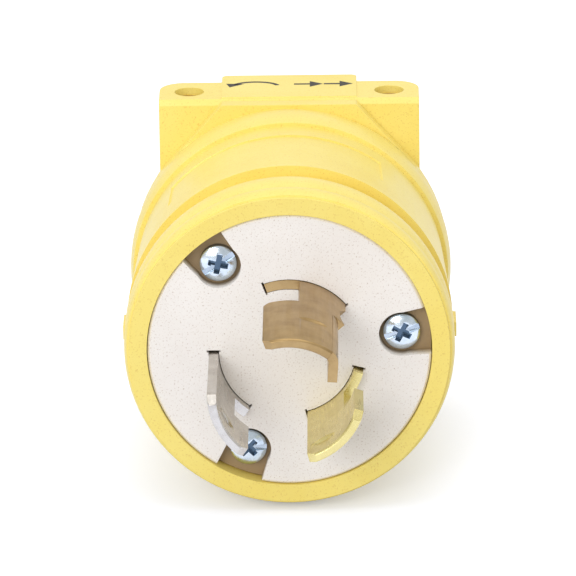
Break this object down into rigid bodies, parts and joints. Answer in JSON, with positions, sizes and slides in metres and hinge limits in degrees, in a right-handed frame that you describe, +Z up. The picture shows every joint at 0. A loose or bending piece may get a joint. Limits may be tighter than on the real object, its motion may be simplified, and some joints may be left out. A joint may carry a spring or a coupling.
{
  "type": "locking power plug",
  "caption": "Round locking power plug: yellow nylon housing, white face with curved notched blades, and a screwed cord clamp behind.",
  "frame": {"origin": "centre of the white face, on the axis of the plug", "axes": "-Y out of the face along the blades, +Y towards the cord, +Z up through the top of the clamp, +X to the right seen from the blades"},
  "size_m": [0.053, 0.0903, 0.0534],
  "materials": {
    "yellow_nylon": "moulded nylon, satin",
    "white_nylon": "moulded nylon, matt",
    "brass": "stamped sheet brass",
    "nickel": "nickel-plated brass",
    "zinc_steel": "bright zinc on steel",
    "green_screw": "green dyed steel",
    "brass_screw": "turned brass",
    "insert_brass": "knurled turned brass",
    "black_rubber": "soft matt rubber"
  },
  "bodies": {
    "root": {"housing": "yellow_nylon", "face_plate": "white_nylon", "blade_carrier": "white_nylon", "ground_blade": "brass", "neutral_blade": "nickel", "hot_blade": "brass", "ground_wire_clamp": "zinc_steel", "neutral_wire_clamp": "zinc_steel", "hot_wire_clamp": "zinc_steel", "ground_terminal_screw": "green_screw", "neutral_terminal_screw": "zinc_steel", "hot_terminal_screw": "brass_screw", "assembly_screw_right": "zinc_steel", "assembly_screw_left": "zinc_steel", "assembly_screw_bottom": "zinc_steel", "housing_insert_right": "insert_brass", "housing_insert_left": "insert_brass", "housing_insert_bottom": "insert_brass", "cord_clamp_upper": "yellow_nylon", "cord_clamp_lower": "yellow_nylon", "clamp_screw_left": "zinc_steel", "clamp_screw_right": "zinc_steel", "clamp_insert_left": "insert_brass", "clamp_insert_right": "insert_brass", "cord_seal": "black_rubber"}
  },
  "joints": []
}
